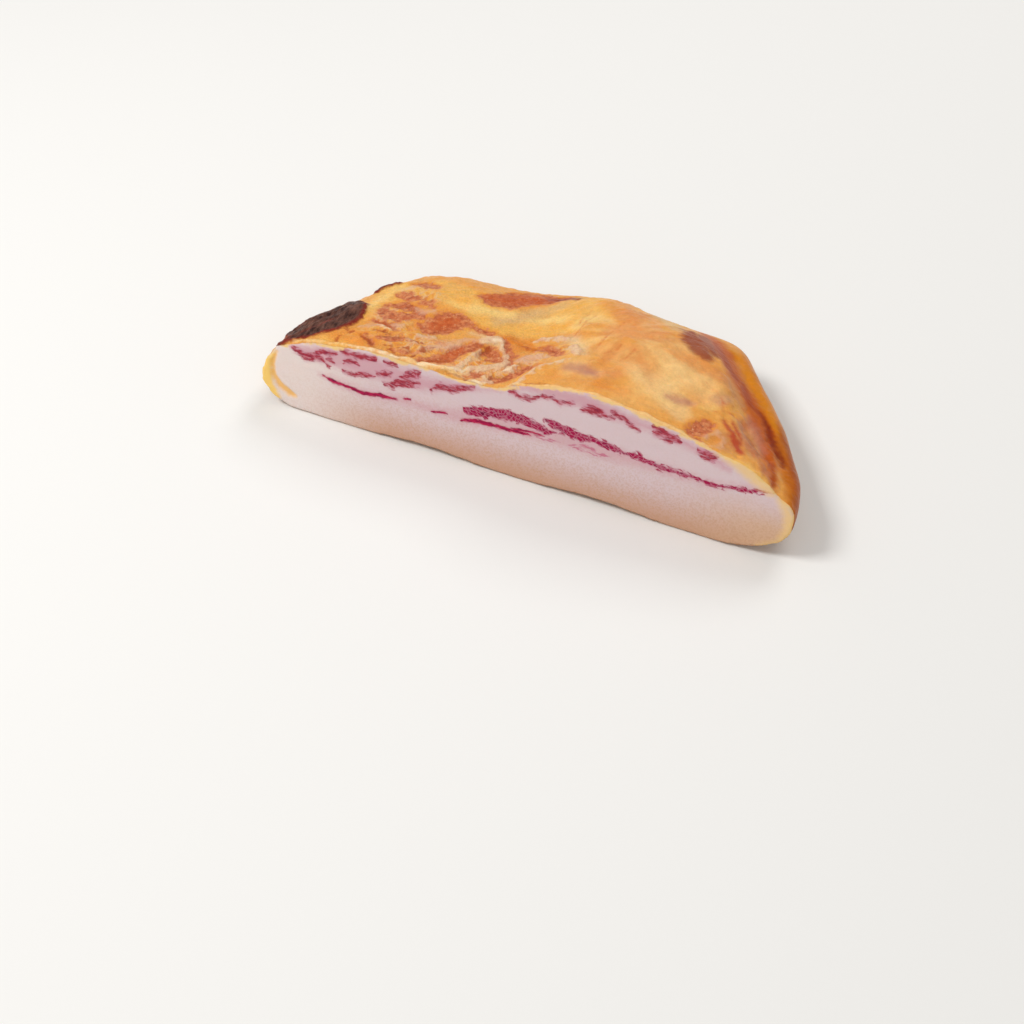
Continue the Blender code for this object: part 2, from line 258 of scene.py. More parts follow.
# What lies on the meat side, as lines seen from above: x, y and half width in mm.
marks = {
    "meat": [
        [(-90, 24, 2), (-86, 25, 4), (-80, 22, 4.4), (-76, 19, 2)],
        [(-92, 11, 2.4), (-87, 9, 4), (-82, 7, 4), (-78, 6, 2.2)],
        [(-93, -4, 2.4), (-89, -2, 3.2), (-84, -2, 3.8), (-79, -3, 3.4), (-75, -5, 1.8)],
        [(-92, -8, 2), (-89, -12, 3), (-83, -15, 4.4), (-78, -13, 4.4), (-73, -10, 3.8), (-68, -12, 1.6)],
        [(-75, 2, 1.6), (-71, 3, 2.2), (-68, 0, 1.6)],
        [(-64, -18, 3), (-60, -17, 6), (-57, -11, 8.2), (-54, -6, 7.4), (-50, -5, 4.6), (-47, -6, 2.6)],
        [(-42, -8, 2.2), (-37, -9, 3.2), (-33, -9, 2.2)],
        [(-78, -38, 1.6), (-74, -36, 2.8), (-70, -35, 2.9), (-66, -33, 1.8)],
        [(-86, -39, 0.8), (-82, -42, 1.3), (-78, -45, 1)],
        [(-54, -49, 1.4), (-51, -45, 2.2), (-48, -42, 3.4), (-43, -38, 4.2), (-41, -32, 4.2),
         (-38, -27, 3.6), (-35, -22, 2.2)],
        [(-30, -25, 2.2), (-28, -23, 3.2), (-24, -24, 3.4), (-21, -27, 2.8), (-25, -28, 2.2)],
        [(-28, -48, 1.5), (-26, -46, 2.4), (-23, -43, 2)],
        [(-17, -46, 2), (-14, -43, 3), (-10, -40, 3.2), (-8, -37, 3), (-5, -31, 3), (0, -33, 2)],
        [(-24, -11, 1.6), (-20, -17, 2.6), (-16, -23, 2.8), (-14, -29, 1.8)],
        [(-4, -13, 2.2), (-1, -11, 3), (4, -14, 3), (8, -19, 2.2)],
        [(-50, 23, 3.4), (-45, 23, 6.4), (-40, 27, 8), (-36, 33, 8.6), (-30, 38, 8), (-23, 40, 7),
         (-16, 44, 4)],
        [(-67, -45, 1.2), (-61, -45, 1.7), (-57, -41, 1.8), (-55, -36, 1.5)],
        [(83, -46, 2.6), (84, -41, 4), (86, -36, 3.4)],
        [(86, -49, 2.4), (88, -52, 1.2)],
        [(-89, -22, 1.6), (-84, -23, 2.6), (-80, -25, 2.6), (-76, -27, 1.6)],
    ],
    "film": [
        [(-33, -18, 1.8), (-31, -15, 2.6), (-28, -12, 2.6), (-24, -15, 1.6), (-20, -20, 1.4),
         (-17, -26, 1.6), (-16, -31, 2), (-20, -35, 2.4), (-24, -39, 2.6), (-29, -41, 1.6)],
        [(-40, -48, 1.6), (-34, -44, 2.2), (-33, -38, 1.6), (-32, -31, 1.2), (-32, -24, 0.9)],
        [(-25, -52, 1), (-20, -50, 1.8), (-17, -46, 2.2), (-21, -44, 1.2)],
        [(-14, -35, 1.2), (-12, -33, 2.2), (-10, -30, 1.2)],
        [(-2, -51, 1.2), (-1, -44, 1.5), (1, -40, 1.3), (3, -35, 1.2), (7, -31, 0.9), (14, -25, 0.6)],
        [(-11, -5, 1), (-7, -2, 1.7), (-2, 0, 1.7), (4, -2, 1.8)],
        [(10, -8, 1.6), (13, -13, 2.2), (16, -18, 1.4)],
        [(-66, -33, 0.8), (-62, -34, 1.1), (-58, -35, 1.1), (-54, -38, 0.9)],
        [(-64, -27, 0.8), (-59, -26, 1), (-55, -24, 0.7)],
    ],
    "veil": [
        [(-53, -34, 2.6), (-48, -31, 2.8), (-45, -26, 2.4), (-41, -20, 1.6), (-34, -17, 1.2)],
        [(-11, -26, 2), (-7, -22, 2.8), (-3, -20, 2.6), (1, -18, 2)],
        [(-76, -3, 1.2), (-70, -7, 1.8), (-66, -4, 1.4)],
        [(-92, -30, 2), (-84, -26, 2.6), (-74, -24, 2)],
        [(88, -48, 0.6), (88, -43, 0.8), (91, -38, 0.8), (96, -41, 0.6), (97, -47, 0.6), (92, -51, 0.8)],
    ],
    # the raised rim of the skin along the cut, which carries a painted highlight
    "ridge": [
        [(-118, -51, 0.8), (-108, -51, 0.9), (-93, -50, 0.9), (-77, -50, 0.9), (-62, -50, 0.9)],
        [(-66, -49, 0.8), (-56, -50, 1.8), (-48, -50, 2), (-41, -48, 1.8), (-35, -48, 1.4),
         (-28, -50, 0.8)],
        [(-22, -51, 0.6), (0, -50, 0.8), (22, -50, 1.2), (44, -49.5, 1.4), (62, -49.5, 1.5), (78, -50, 1.2),
         (96, -51.5, 0.8)],
    ],
    "vein": [
        [(2, 3, 0.3), (4, 10, 0.4), (4, 21, 0.4), (6, 30, 0.3)],
        [(6, 1, 0.3), (7, 12, 0.4), (8, 24, 0.3)],
        [(20, -14, 0.3), (22, -2, 0.4), (24, 10, 0.4), (25, 18, 0.3)],
        [(23, -21, 0.3), (27, -10, 0.4), (31, -2, 0.3)],
        [(36, -13, 0.3), (39, -8, 0.4), (39, -3, 0.3)],
        [(75, -8, 0.2), (78, -9, 0.4), (81, -11, 0.5), (85, -14, 0.5), (89, -17, 0.6), (92, -15, 0.4)],
        [(86, -15, 0.3), (90, -21, 0.5), (94, -20, 0.6), (97, -21, 0.4)],
        [(84, -24, 0.2), (88, -23, 0.4), (92, -27, 0.3)],
        [(95, -10, 0.4), (98, -10, 0.6), (104, -12, 0.5)],
        [(-98, -48, 0.4), (-96, -44, 0.5)],
        [(-86, -39, 0.4), (-81, -43, 0.6), (-75, -45, 0.4)],
        [(-71, -48, 0.5), (-69, -44, 0.5), (-65, -44, 0.5), (-63, -49, 0.5)],
    ],
    "plum": [
        [(54, 33, 3.5), (58, 27, 5.5), (61, 21, 6.5), (65, 17, 5.5), (70, 12, 2.5)],
        [(61, 34, 4), (66, 26, 4), (71, 19, 3)],
        [(-22, 41, 2), (-14, 43, 3.4), (-8, 44, 2)],
    ],
    "glow": [
        [(60, 42, 3), (67, 37, 5), (75, 26, 5.5), (82, 15, 5.5), (89, 7, 5), (96, 1, 5), (102, -7, 5),
         (107, -14, 5), (112, -23, 5), (116, -32, 3.5), (120, -42, 0.5), (122, -49, -1)],
    ],
    "seam": [
        [(67, 35, 1.4), (73, 25, 2.4), (80, 15, 2.4), (86, 11, 1.4)],
        [(89, 12, 0.8), (92, 5, 1.8), (97, -2, 2), (101, -4, 1)],
        [(118, -36, 0), (121, -42, 0.4), (123, -50, 0)],
    ],
    "maroon": [
        [(102, -2, 0.6), (107, -10, 1.6), (113, -18, 2), (118, -24, 1.7), (122, -31, 0.8)],
    ],
    "shelf": [
        [(60, 56, 8), (84, 40, 10), (102, 20, 12), (117, -2, 12), (129, -24, 10), (137, -50, 8)],
        [(54, 46, 6), (68, 34, 8), (80, 18, 8), (92, 4, 7), (104, -10, 5)],
    ],
    "red": [
        [(92, -28, 0.8), (95, -31, 1.8), (98, -35, 2.5), (102, -40, 3), (105, -43, 2)],
        [(95, -25, 0.3), (99, -30, 1.2), (102, -35, 0.5)],
    ],
    "bruise": [
        [(66, -29, 1), (69, -28, 1.8), (73, -27, 1)],
        [(15, -31, 1.4), (21, -29, 2.8), (28, -30, 1.6)],
        [(100, -12, 1), (104, -18, 2.4), (108, -24, 2.6), (112, -30, 1.6)],
    ],
    # folds: shallow creases in the relief, with painted shadow along them
    "gap": [
        [(-78, -36, 0.5), (-74, -34, 0.9), (-71, -34, 0.9), (-66, -31, 0.4)],
        [(-85, -38, 0.4), (-81, -43, 0.8), (-77, -46, 0.7), (-75, -47, 0.4)],
        [(-52, -50, 0.4), (-51, -47, 0.8), (-49, -45, 0.5)],
        [(-36, -50, 0.4), (-33, -49, 0.7), (-26, -51, 0.5)],
        [(-15, -34, 0.5), (-13, -31, 0.8), (-10, -28, 0.7), (-4, -27, 0.4)],
        [(3, -48, 0.5), (9, -47, 0.7), (14, -47, 0.4)],
        [(-57, -38, 0.4), (-54, -39, 0.8), (-51, -33, 0.5)],
        [(-18, -44, 0.5), (-16, -40, 0.8), (-13, -38, 0.7), (-8, -40, 0.4)],
        [(-67, -48, 0.4), (-62, -49, 0.7), (-58, -47, 0.6), (-56, -42, 0.4)],
        [(-81, -31, 0.4), (-77, -32, 0.7), (-75, -32, 0.4)],
    ],
    "fleck": [
        [(-97, -49, 0.3), (-97, -46, 0.8), (-97, -42, 0.3)],
        [(-88, -39, 0.4), (-83, -42, 0.9), (-79, -45, 0.8), (-76, -47, 0.3)],
        [(-84, -33, 0.4), (-82, -31, 0.8), (-78, -32, 0.4)],
        [(-88, -22, 0.4), (-83, -23.5, 1.2), (-77, -26, 0.4)],
        [(-74, -49, 0.4), (-71, -49, 0.8), (-69, -48, 0.4)],
        [(-69, -45, 0.4), (-66, -47, 0.9), (-62, -49, 0.4)],
        [(-66, -42, 0.4), (-62, -40, 0.8)],
        [(-63, -34, 0.4), (-58, -32, 0.8)],
        [(-57, -35, 0.4), (-55, -38, 0.9), (-53, -40, 0.5)],
        [(-62, -48, 0.4), (-57, -45, 0.8)],
        [(-73, -44, 0.4), (-69, -42, 0.7)],
        [(-53, -49, 0.4), (-50, -46, 0.9), (-47, -43, 0.9), (-42, -39, 0.4)],
        [(-99, -35, 0.3), (-94, -38, 0.7), (-92, -37, 0.3)],
        [(-33, -21, 0.4), (-29, -21, 0.8), (-25, -25, 0.4)],
        [(-17, -10, 0.4), (-12, -12, 0.9), (-8, -14, 0.4)],
    ],
    # painted highlights: pale, glossier lines where light glints off raised films and ridges
    "gleam": [
        [(-94, -50, 0.2), (-80, -50.5, 0.6), (-66, -50.5, 0.7), (-58, -50.5, 0.3)],
        [(-51, -51, 0.5), (-46, -49, 0.9), (-42, -48, 0.5)],
        [(-37, -47, 0.4), (-32, -45, 0.8), (-29, -42, 0.4)],
        [(-14, -35, 0.5), (-12, -34, 0.9), (-10, -31, 0.4)],
        [(-23, -52, 0.4), (-19, -50, 0.8), (-17, -48, 0.4)],
        [(-31, -15, 0.4), (-27, -13, 0.8), (-23, -16, 0.4)],
        [(-85, -27, 0.2), (-81, -28.5, 0.6), (-77, -29.5, 0.2)],
    ],
    "ember": [
        [(-49, 23, 3), (-42, 27, 6), (-34, 33, 6.5), (-27, 37, 4.5), (-20, 40, 2.5)],
        [(-60, -16, 2), (-57, -10, 4), (-54, -7, 3)],
        [(-44, -36, 2.5), (-40, -29, 2.5)],
    ],
    "crust": [
        [(-126, -53, 1), (-119, -48, 2.8), (-112, -42, 4), (-106, -36, 4.8), (-103, -29, 5.4),
         (-102, -22, 5.4), (-103, -14, 4.4)],
        [(-122, -44, 5), (-116, -33, 7.5), (-110, -22, 8.5), (-106, -11, 6)],
        [(-107, 12, 1.2), (-105, 15, 1.5), (-102, 19, 1.5), (-99, 23, 1)],
    ],
    "swirl": [
        [(-86, -8, 8), (-78, -30, 10), (-60, -36, 10), (-40, -34, 10), (-20, -38, 8), (-6, -28, 7),
         (6, -10, 5)],
        [(-88, 16, 7), (-74, 8, 6)],
    ],
    "hollow": [
        [(-20, -48, 2), (-12, -40, 3), (-6, -34, 3), (-3, -22, 3), (3, -15, 2)],
        [(100, -22, 2), (108, -28, 3), (114, -33, 2)],
    ],
}
# How the marks stray from their lines: size of the lumps, octaves, reach in mm and first seed.
wander = ((8, 3, 1.6, 1), (3, 2, 0.5, 4))
# The share of it that fine marks take.
steadiness = {
    "crust": 0.3,
    "seam": 0.4,
    "fleck": 0.5,
    "gap": 0.5,
    "gleam": 0.5,
    "ridge": 0.5,
    "glow": 0.6,
    "vein": 0.9,
}

# Soft bands of colour on the skin, laid one over the other: x, y, z and half width in mm.
washes = [
    ("gold", [
        [(-98, 20, 28, 10), (-94, 2, 32, 10), (-100, -15, 34, 6)],
        [(-80, 20, 32, 12), (-53, 16, 35, 12), (-43, 0, 38, 10), (-16, 12, 35, 13), (6, 22, 40, 11)],
        [(-12, 28, 34, 10), (0, 45, 30, 10)],
        [(-102, -49, 42, 4), (-90, -49, 43, 4)],
    ]),
    ("goldLight", [
        [(-62, 10, 37, 3), (-46, 8, 36, 4), (-28, 14, 35, 4), (-8, 18, 36, 5)],
        [(-102, -12, 34, 3), (-97, 18, 29, 3)],
        [(2, 8, 40, 4), (8, 20, 42, 3)],
    ]),
    ("orange", [
        [(-78, -6, 36, 7), (-72, -20, 38, 7), (-68, -34, 43, 8), (-88, -42, 43, 7), (-102, -38, 41, 4)],
        [(14, -38, 52, 4), (30, -40, 54, 4), (46, -38, 54, 4)],
    ]),
    ("orangePeach", [
        [(27, 10, 47, 8), (40, 16, 46, 8), (28, 30, 42, 8)],
        [(20, -30, 52, 5), (36, -27, 54, 5)],
    ]),
    ("peach", [
        [(24, -8, 49, 5), (44, -10, 50, 12), (67, -5, 48, 11), (80, -18, 46, 7)],
        [(52, 12, 46, 6), (62, 6, 47, 6)],
    ]),
    ("palePeach", [
        [(46, -18, 51, 6), (60, -25, 51, 8), (74, -38, 51, 4)],
        [(58, -6, 49, 3), (66, -12, 49, 4)],
    ]),
    ("greyGold", [
        [(-34, 4, 36, 3), (-28, 10, 36, 3), (-24, 22, 33, 4), (-14, 32, 33, 3)],
        [(36, 43, 35, 6), (48, 33, 40, 4)],
    ]),
    # deeper orange in the middle of the skin: partly the fat's own tone, partly painted shade of a hollow
    ("orangeDeep", [
        [(-24, -8, 39, 4), (-15, -12, 39, 5), (-6, -16, 42, 2)],
        [(-13, -2, 38, 1), (-16, -8, 38, 2)],
    ]),
    ("sunny", [
        [(-66, 12, 36, 1), (-56, 12, 36, 2)],
        [(-11, 13, 37, 1), (-4, 11, 38, 2), (4, 5, 41, 1)],
        [(-76, 6, 35, 1), (-72, 14, 35, 1)],
    ]),
    ("pink", [
        [(-52, -30, 41, 4), (-46, -28, 41, 4)],
        [(-48, -46, 44, 2), (-42, -44, 44, 2)],
        [(-9, -23, 43, 3), (-4, -20, 43, 3)],
    ]),
    ("cream", [
        [(-40, -13, 40, 1), (-34, -14, 40, 2)],
        [(-28, -14, 40, 3), (-22, -16, 40, 2)],
        [(-38, -42, 44, 2), (-29, -44, 44, 4), (-22, -46, 44, 3)],
        [(6, -2, 43, 3), (10, -6, 45, 3), (16, -14, 50, 3)],
    ]),
    ("mauveTan", [
        [(17, -30, 52, 2), (30, -31, 53, 3)],
        [(85, -17, 45, 2), (87, -12, 45, 2)],
        [(65, -29, 50, 2), (73, -27, 48, 2)],
    ]),
    ("tan", [[(80, 2, 45, 4), (93, -7, 39, 4)], [(94, -40, 46, 4), (97, -44, 45, 4)]]),
    ("redTan", [[(104, -12, 36, 3), (100, -24, 41, 4), (108, -36, 40, 5)]]),
    ("filmPink", [
        [(106, -17, 35, 1), (110, -24, 34, 2), (113, -32, 35, 2)],
        [(98, -20, 42, 1), (104, -32, 42, 1)],
    ]),
    ("orange", [[(92, -44, 47, 1.5), (94, -43, 47, 1.5)]]),
    ("redBrown", [[(114, -28, 34, 2), (118, -42, 37, 5), (122, -50, 37, 2)]]),
    ("yellow", [
        [(80, -26, 47, 1), (84, -23, 46, 1)],
        [(100, -53, 46, 1.5), (110, -53, 44, 2), (118, -54, 41, 2)],
    ]),
    ("amber", [
        [(50, 56, 26, 7), (68, 46, 30, 5), (78, 36, 31, 6), (88, 26, 31, 6), (100, 9, 31, 6),
         (112, -8, 31, 6), (121, -24, 30, 6), (130, -42, 30, 5), (134, -52, 28, 4)],
        [(54, 58, 18, 9), (86, 40, 18, 9), (106, 18, 18, 9), (120, -2, 18, 9), (130, -24, 18, 8),
         (136, -48, 18, 7)],
        [(60, 57, 6, 12), (90, 42, 6, 12), (112, 20, 6, 12), (126, 0, 6, 12), (134, -28, 6, 11),
         (137, -57, 6, 8)],
    ]),
    # along the top of the amber wall: the fat's paler amber with a painted highlight line
    ("paleAmberAndHighlight", [
        [(64, 50, 28, 3), (73, 42, 30, 4), (81, 32, 31, 4), (91, 20, 31, 4), (102, 8, 31, 4),
         (111, -5, 31, 3), (120, -15, 28, 3), (127, -26, 26, 2)],
    ]),
    # the amber's darker tone with painted shade: on the far right side, away from the key light, and low down
    # by the floor
    ("darkAmberAndShade", [
        [(114, -4, 28, 2), (122, -18, 28, 4), (130, -34, 28, 4), (135, -48, 26, 4), (136, -54, 20, 4)],
        [(130, -24, 10, 6), (120, 2, 6, 6), (94, 40, 6, 6), (62, 57, 4, 6)],
    ]),
]
# How the bands blend, and where the rind gives way to the skin at the sides.
blend = {
    "lumps": 9,  # mm
    "stray": 2.5,  # mm
    "edge": (-4, 3),  # mm inside a band, where it sets in and where it is full
    "cover": 0.92,
    "rindSlope": (-0.6, -0.2),  # upward part of the normal
    "rindWaver": 0.15,
}
# Streaks that fan out from the top of the hump: darker and lighter peach. In mm.
fan = {
    "apex": (31, 10),
    "streaks": 2.4,
    "length": 45,
    "near": (4, 14),  # how far from the apex they set in
    "far": (45, 70),  # and fade
    "left": (-4, 12),  # x where they set in
    "right": (80, 95),  # and fade
    "slope": (0.6, 0.9),  # upward part of the normal
    "edge": (-0.1, 0.6),
    "strength": 0.55,
}

# Marks on the cut, as lines of x, height up the cut and half width in mm.
cutMarks = {
    "lip": [[(-128, 30, 0.6), (-133, 22, 3.2), (-134, 16, 4), (-132, 10, 3.2), (-127, 5, 1.6)]],
    "groove": [
        [(-127, 31, 0.5), (-129.5, 24, 1), (-129, 17, 1.4), (-125.5, 12, 1.8), (-120, 9, 1.8),
         (-117, 8, 0.8)],
    ],
    "cutYellow": [
        [(96, 48, 0.6), (105, 45.5, 2.2), (115, 41, 3.4), (123, 36.5, 2.6)],
        [(128, 34, 2), (133, 26, 2.4), (134, 18, 2.4), (131, 10, 1.6), (122, 5, 1)],
    ],
}


# How far inside a line of changing width each point is, in mm; outside it is negative.
def insideLine(points, line):
    best = np.full(len(points), -1e3)
    for (*start, startWidth), (*end, endWidth) in zip(line, line[1:]):
        start, run = np.array(start, float), np.subtract(end, start)
        t = np.clip((points - start) @ run / max(run @ run, 1e-9), 0, 1)
        distance = np.linalg.norm(points - start - t[:, None] * run, axis=1)
        best = np.maximum(best, startWidth + (endWidth - startWidth) * t - distance)
    return best


# The marks are dropped on the skin from above, and each point learns how far inside each it is.
def measureMarks(piece, points, rim):
    tree = BVHTree.FromObject(piece, bpy.context.evaluated_depsgraph_get())
    stray = np.zeros_like(points)
    for size, octaves, reach, seed in wander:
        stray += np.stack([lumps(points, size, octaves, seed + i) for i in range(3)], 1) * reach
    fields = {}
    for name, lines in marks.items():
        strayed = points + stray * steadiness.get(name, 1)
        best = np.full(len(points), -1e3)
        for line in lines:
            placed = []
            for x, y, width in line:
                top = tree.ray_cast(Vector((x, y, 100)) * mm, Vector((0, 0, -1)))[0]
                placed.append((x, y, top.z / mm if top else 30, width))  # 30 mm where the line runs off
            best = np.maximum(best, insideLine(strayed, placed))
        fields[name] = best
    x, height, depth = onCut(points)
    onFace = np.stack([x, height], 1)
    for name, lines in cutMarks.items():
        fields[name] = np.max([insideLine(onFace, line) for line in lines], axis=0)
    edges = np.stack(onCut(rim)[:2], 2)
    fields["rim"] = -np.max([insideLine(onFace, [(*a, 0), (*b, 0)]) for a, b in edges], axis=0)
    fields["cutDepth"] = depth
    return fields


def washSkin(points, normals):
    stray = np.stack([lumps(points, blend["lumps"], seed=s) for s in (21, 22, 23)], 1) * blend["stray"]
    colour = np.tile(np.array(paint["orangeGold"]), (len(points), 1))
    for name, lines in washes:
        inside = np.max([insideLine(points + stray, line) for line in lines], axis=0)
        colour += (paint[name] - colour) * smooth(inside, *blend["edge"])[:, None] * blend["cover"]
    away = points[:, :2] - fan["apex"]
    reach = np.linalg.norm(away, axis=1)
    bearing = away / np.maximum(reach, 0.1)[:, None] * fan["streaks"]
    streak = lumps(np.column_stack([bearing, reach / fan["length"]]), 1, 2, seed=25)
    onHump = smooth(reach, *fan["near"]) * (1 - smooth(reach, *fan["far"]))
    onHump = onHump * (1 - smooth(points[:, 0], *fan["right"]))
    onHump = onHump * smooth(normals[:, 2], *fan["slope"]) * smooth(points[:, 0], *fan["left"])
    for name, side in (("fanDark", streak), ("fanLight", -streak)):
        share = smooth(side, *fan["edge"])
        colour += (paint[name] - colour) * (share * onHump * fan["strength"])[:, None]
    # the rind: from under the piece up its lower sides
    up = normals[:, 2] + blend["rindWaver"] * lumps(points, blend["lumps"], seed=24)
    rind = (1 - smooth(up, *blend["rindSlope"]))[:, None]
    return colour + (paint["rindTan"] - colour) * rind, rind[:, 0]


# How the marks stand out of the meat side or sink in it: where the slope starts and ends,
# in mm inside the mark's line, and the height in mm.
relief = {
    "film": (-1.1, 0.7, 0.8),
    "veil": (-1.4, 0.8, 0.5),
    "ridge": (-1.4, 0.6, 0.9),
    "vein": (-1.3, 0.3, -0.3),
    "seam": (-3, 1.5, -0.5),
    "maroon": (-2, 1, -0.8),
    "hollow": (-3.5, 1.5, -1.1),
    "gap": (-1.6, 0.5, -0.45),
    "fleck": (-1.4, 0.6, -0.25),
    "gleam": (-1.2, 0.5, 0.35),
}
# The relief of the rest: heights, depths and places in mm.
form = {
    "faceEdge": (0.2, 0.9),  # how far behind the cut its face ends
    "tornEdge": (0.5, 5),  # how far behind the cut the skin is torn uneven
    "tornHeight": 0.35,
    "meatSlope": (-0.1, 0.35),  # upward part of the normal, where the meat side starts
    "shelfEdge": (-4, 4),
    "shelfShare": 0.15,  # share of the relief that the glassy shelf keeps
    "humpStart": (0, 14),  # x of the high right half
    "humpEnd": (78, 96),
    "lumpHeight": 0.6,
    "smallLumpHeight": 0.3,
    "creaseDepth": 0.3,
    "humpFoldDepth": 0.35,
    "swirlEdge": (-4, 4),
    "swirlHeight": 0.5,
    "meatEdge": (-1, 1),
    "meatDepth": 0.45,
    "meatGrain": 0.2,
    "crustEdge": (-1, 0.8),
    "crustHeight": 0.9,
    "crustWrinkles": 0.45,
    "crustGrain": 0.16,
    "rindLumps": 0.14,
    "rindCrests": 0.1,
    "grooveEdge": (-1, 0.8),
    "grooveDepth": 0.8,
    "lipEdge": (-1, 1),
    "lipHeight": 0.3,
    "cutLumps": 0.12,
    "farthest": 20,  # mm past which a mark's field stays the same
}


# Moves the body's points out and in, and keeps the fields and the wash as attributes.
def shapeBody(piece, rim):
    points = readVectors(piece.data.vertices, "co") / mm
    normals = readVectors(piece.data.vertex_normals, "vector")
    fields = measureMarks(piece, points, rim)
    wash, rind = washSkin(points, normals)
    onFace = 1 - smooth(fields["cutDepth"], *form["faceEdge"])
    nearCut = 1 - smooth(fields["cutDepth"], *form["tornEdge"])
    meatSide = smooth(normals[:, 2], *form["meatSlope"]) * (1 - onFace)

    offShelf = 1 - smooth(fields["shelf"], *form["shelfEdge"])
    meatSide *= offShelf * (1 - form["shelfShare"]) + form["shelfShare"]
    move = meatSide * form["lumpHeight"] * lumps(points, 13, 3, seed=4)
    move += meatSide * form["smallLumpHeight"] * lumps(points, 3.5, 2, seed=5)
    hump = smooth(points[:, 0], *form["humpStart"]) * (1 - smooth(points[:, 0], *form["humpEnd"]))
    creases = smooth(crests(points, 9, 16, 20, seed=8), 0.4, 1)
    move -= meatSide * (1 - hump) * form["creaseDepth"] * creases
    folds = smooth(crests(points, 16, 40, 72, seed=7), -0.2, 1)
    move -= meatSide * hump * form["humpFoldDepth"] * folds
    swirl = smooth(fields["swirl"], *form["swirlEdge"])
    move += meatSide * swirl * form["swirlHeight"] * crests(points, 5, 11, 40, seed=15)
    inMeat = smooth(fields["meat"], *form["meatEdge"])
    move += meatSide * inMeat * (form["meatGrain"] * lumps(points, 2.2, 2, seed=6) - form["meatDepth"])
    for name, (start, end, height) in relief.items():
        move += meatSide * smooth(fields[name], start, end) * height
    move += meatSide * nearCut * form["tornHeight"] * lumps(points, 5, 2, seed=9)

    inCrust = smooth(fields["crust"], *form["crustEdge"]) * (1 - onFace)
    crag = form["crustWrinkles"] * crests(points, 3.4, 17, 60, seed=10)
    crag = crag + form["crustGrain"] * crests(points, 1.9, 7, 55, seed=11)
    move += inCrust * (form["crustHeight"] + crag)
    bumps = form["rindLumps"] * lumps(points, 5, 3, seed=12) + form["rindCrests"] * crests(points, 4, seed=13)
    move += rind * (1 - onFace) * bumps
    move -= onFace * smooth(fields["groove"], *form["grooveEdge"]) * form["grooveDepth"]
    move += onFace * smooth(fields["lip"], *form["lipEdge"]) * form["lipHeight"]
    move += onFace * form["cutLumps"] * lumps(points * (0.35, 1, 1), 4, 2, seed=14)

    points += normals * move[:, None]
    points[:, 2] = np.maximum(points[:, 2], 0)
    piece.data.vertices.foreach_set("co", (points * mm).astype(np.float32).ravel())
    fields["rind"] = rind
    for name, values in fields.items():
        layer = piece.data.attributes.new(name, "FLOAT", "POINT")
        values = np.clip(values, -form["farthest"], form["farthest"])
        layer.data.foreach_set("value", values.astype(np.float32))
    layer = piece.data.attributes.new("wash", "FLOAT_COLOR", "POINT")
    layer.data.foreach_set("color", wash.astype(np.float32).ravel())
    piece.data.update()
    print("relief: from", round(move.min(), 2), "to", round(move.max(), 2), "mm")


# One node with what goes into it, its settings and, for a colour ramp, its stops.
# Gives back one of its outputs.
def addNode(tree, kind, inputs=None, out=0, stops=(), **settings):
    node = tree.nodes.new("ShaderNode" + kind)
    for name, value in settings.items():
        setattr(node, name, value)
    for name, value in (inputs or {}).items():
        if isinstance(value, bpy.types.NodeSocket):
            tree.links.new(value, node.inputs[name])
        else:
            node.inputs[name].default_value = value
    if stops:
        elements = node.color_ramp.elements
        elements[0].position, elements[1].position = stops[0][0], stops[-1][0]
        for position, name in stops[1:-1]:
            elements.new(position)
        for element, (position, name) in zip(elements, stops):
            element.color = paint[name]
    return node.outputs[out]


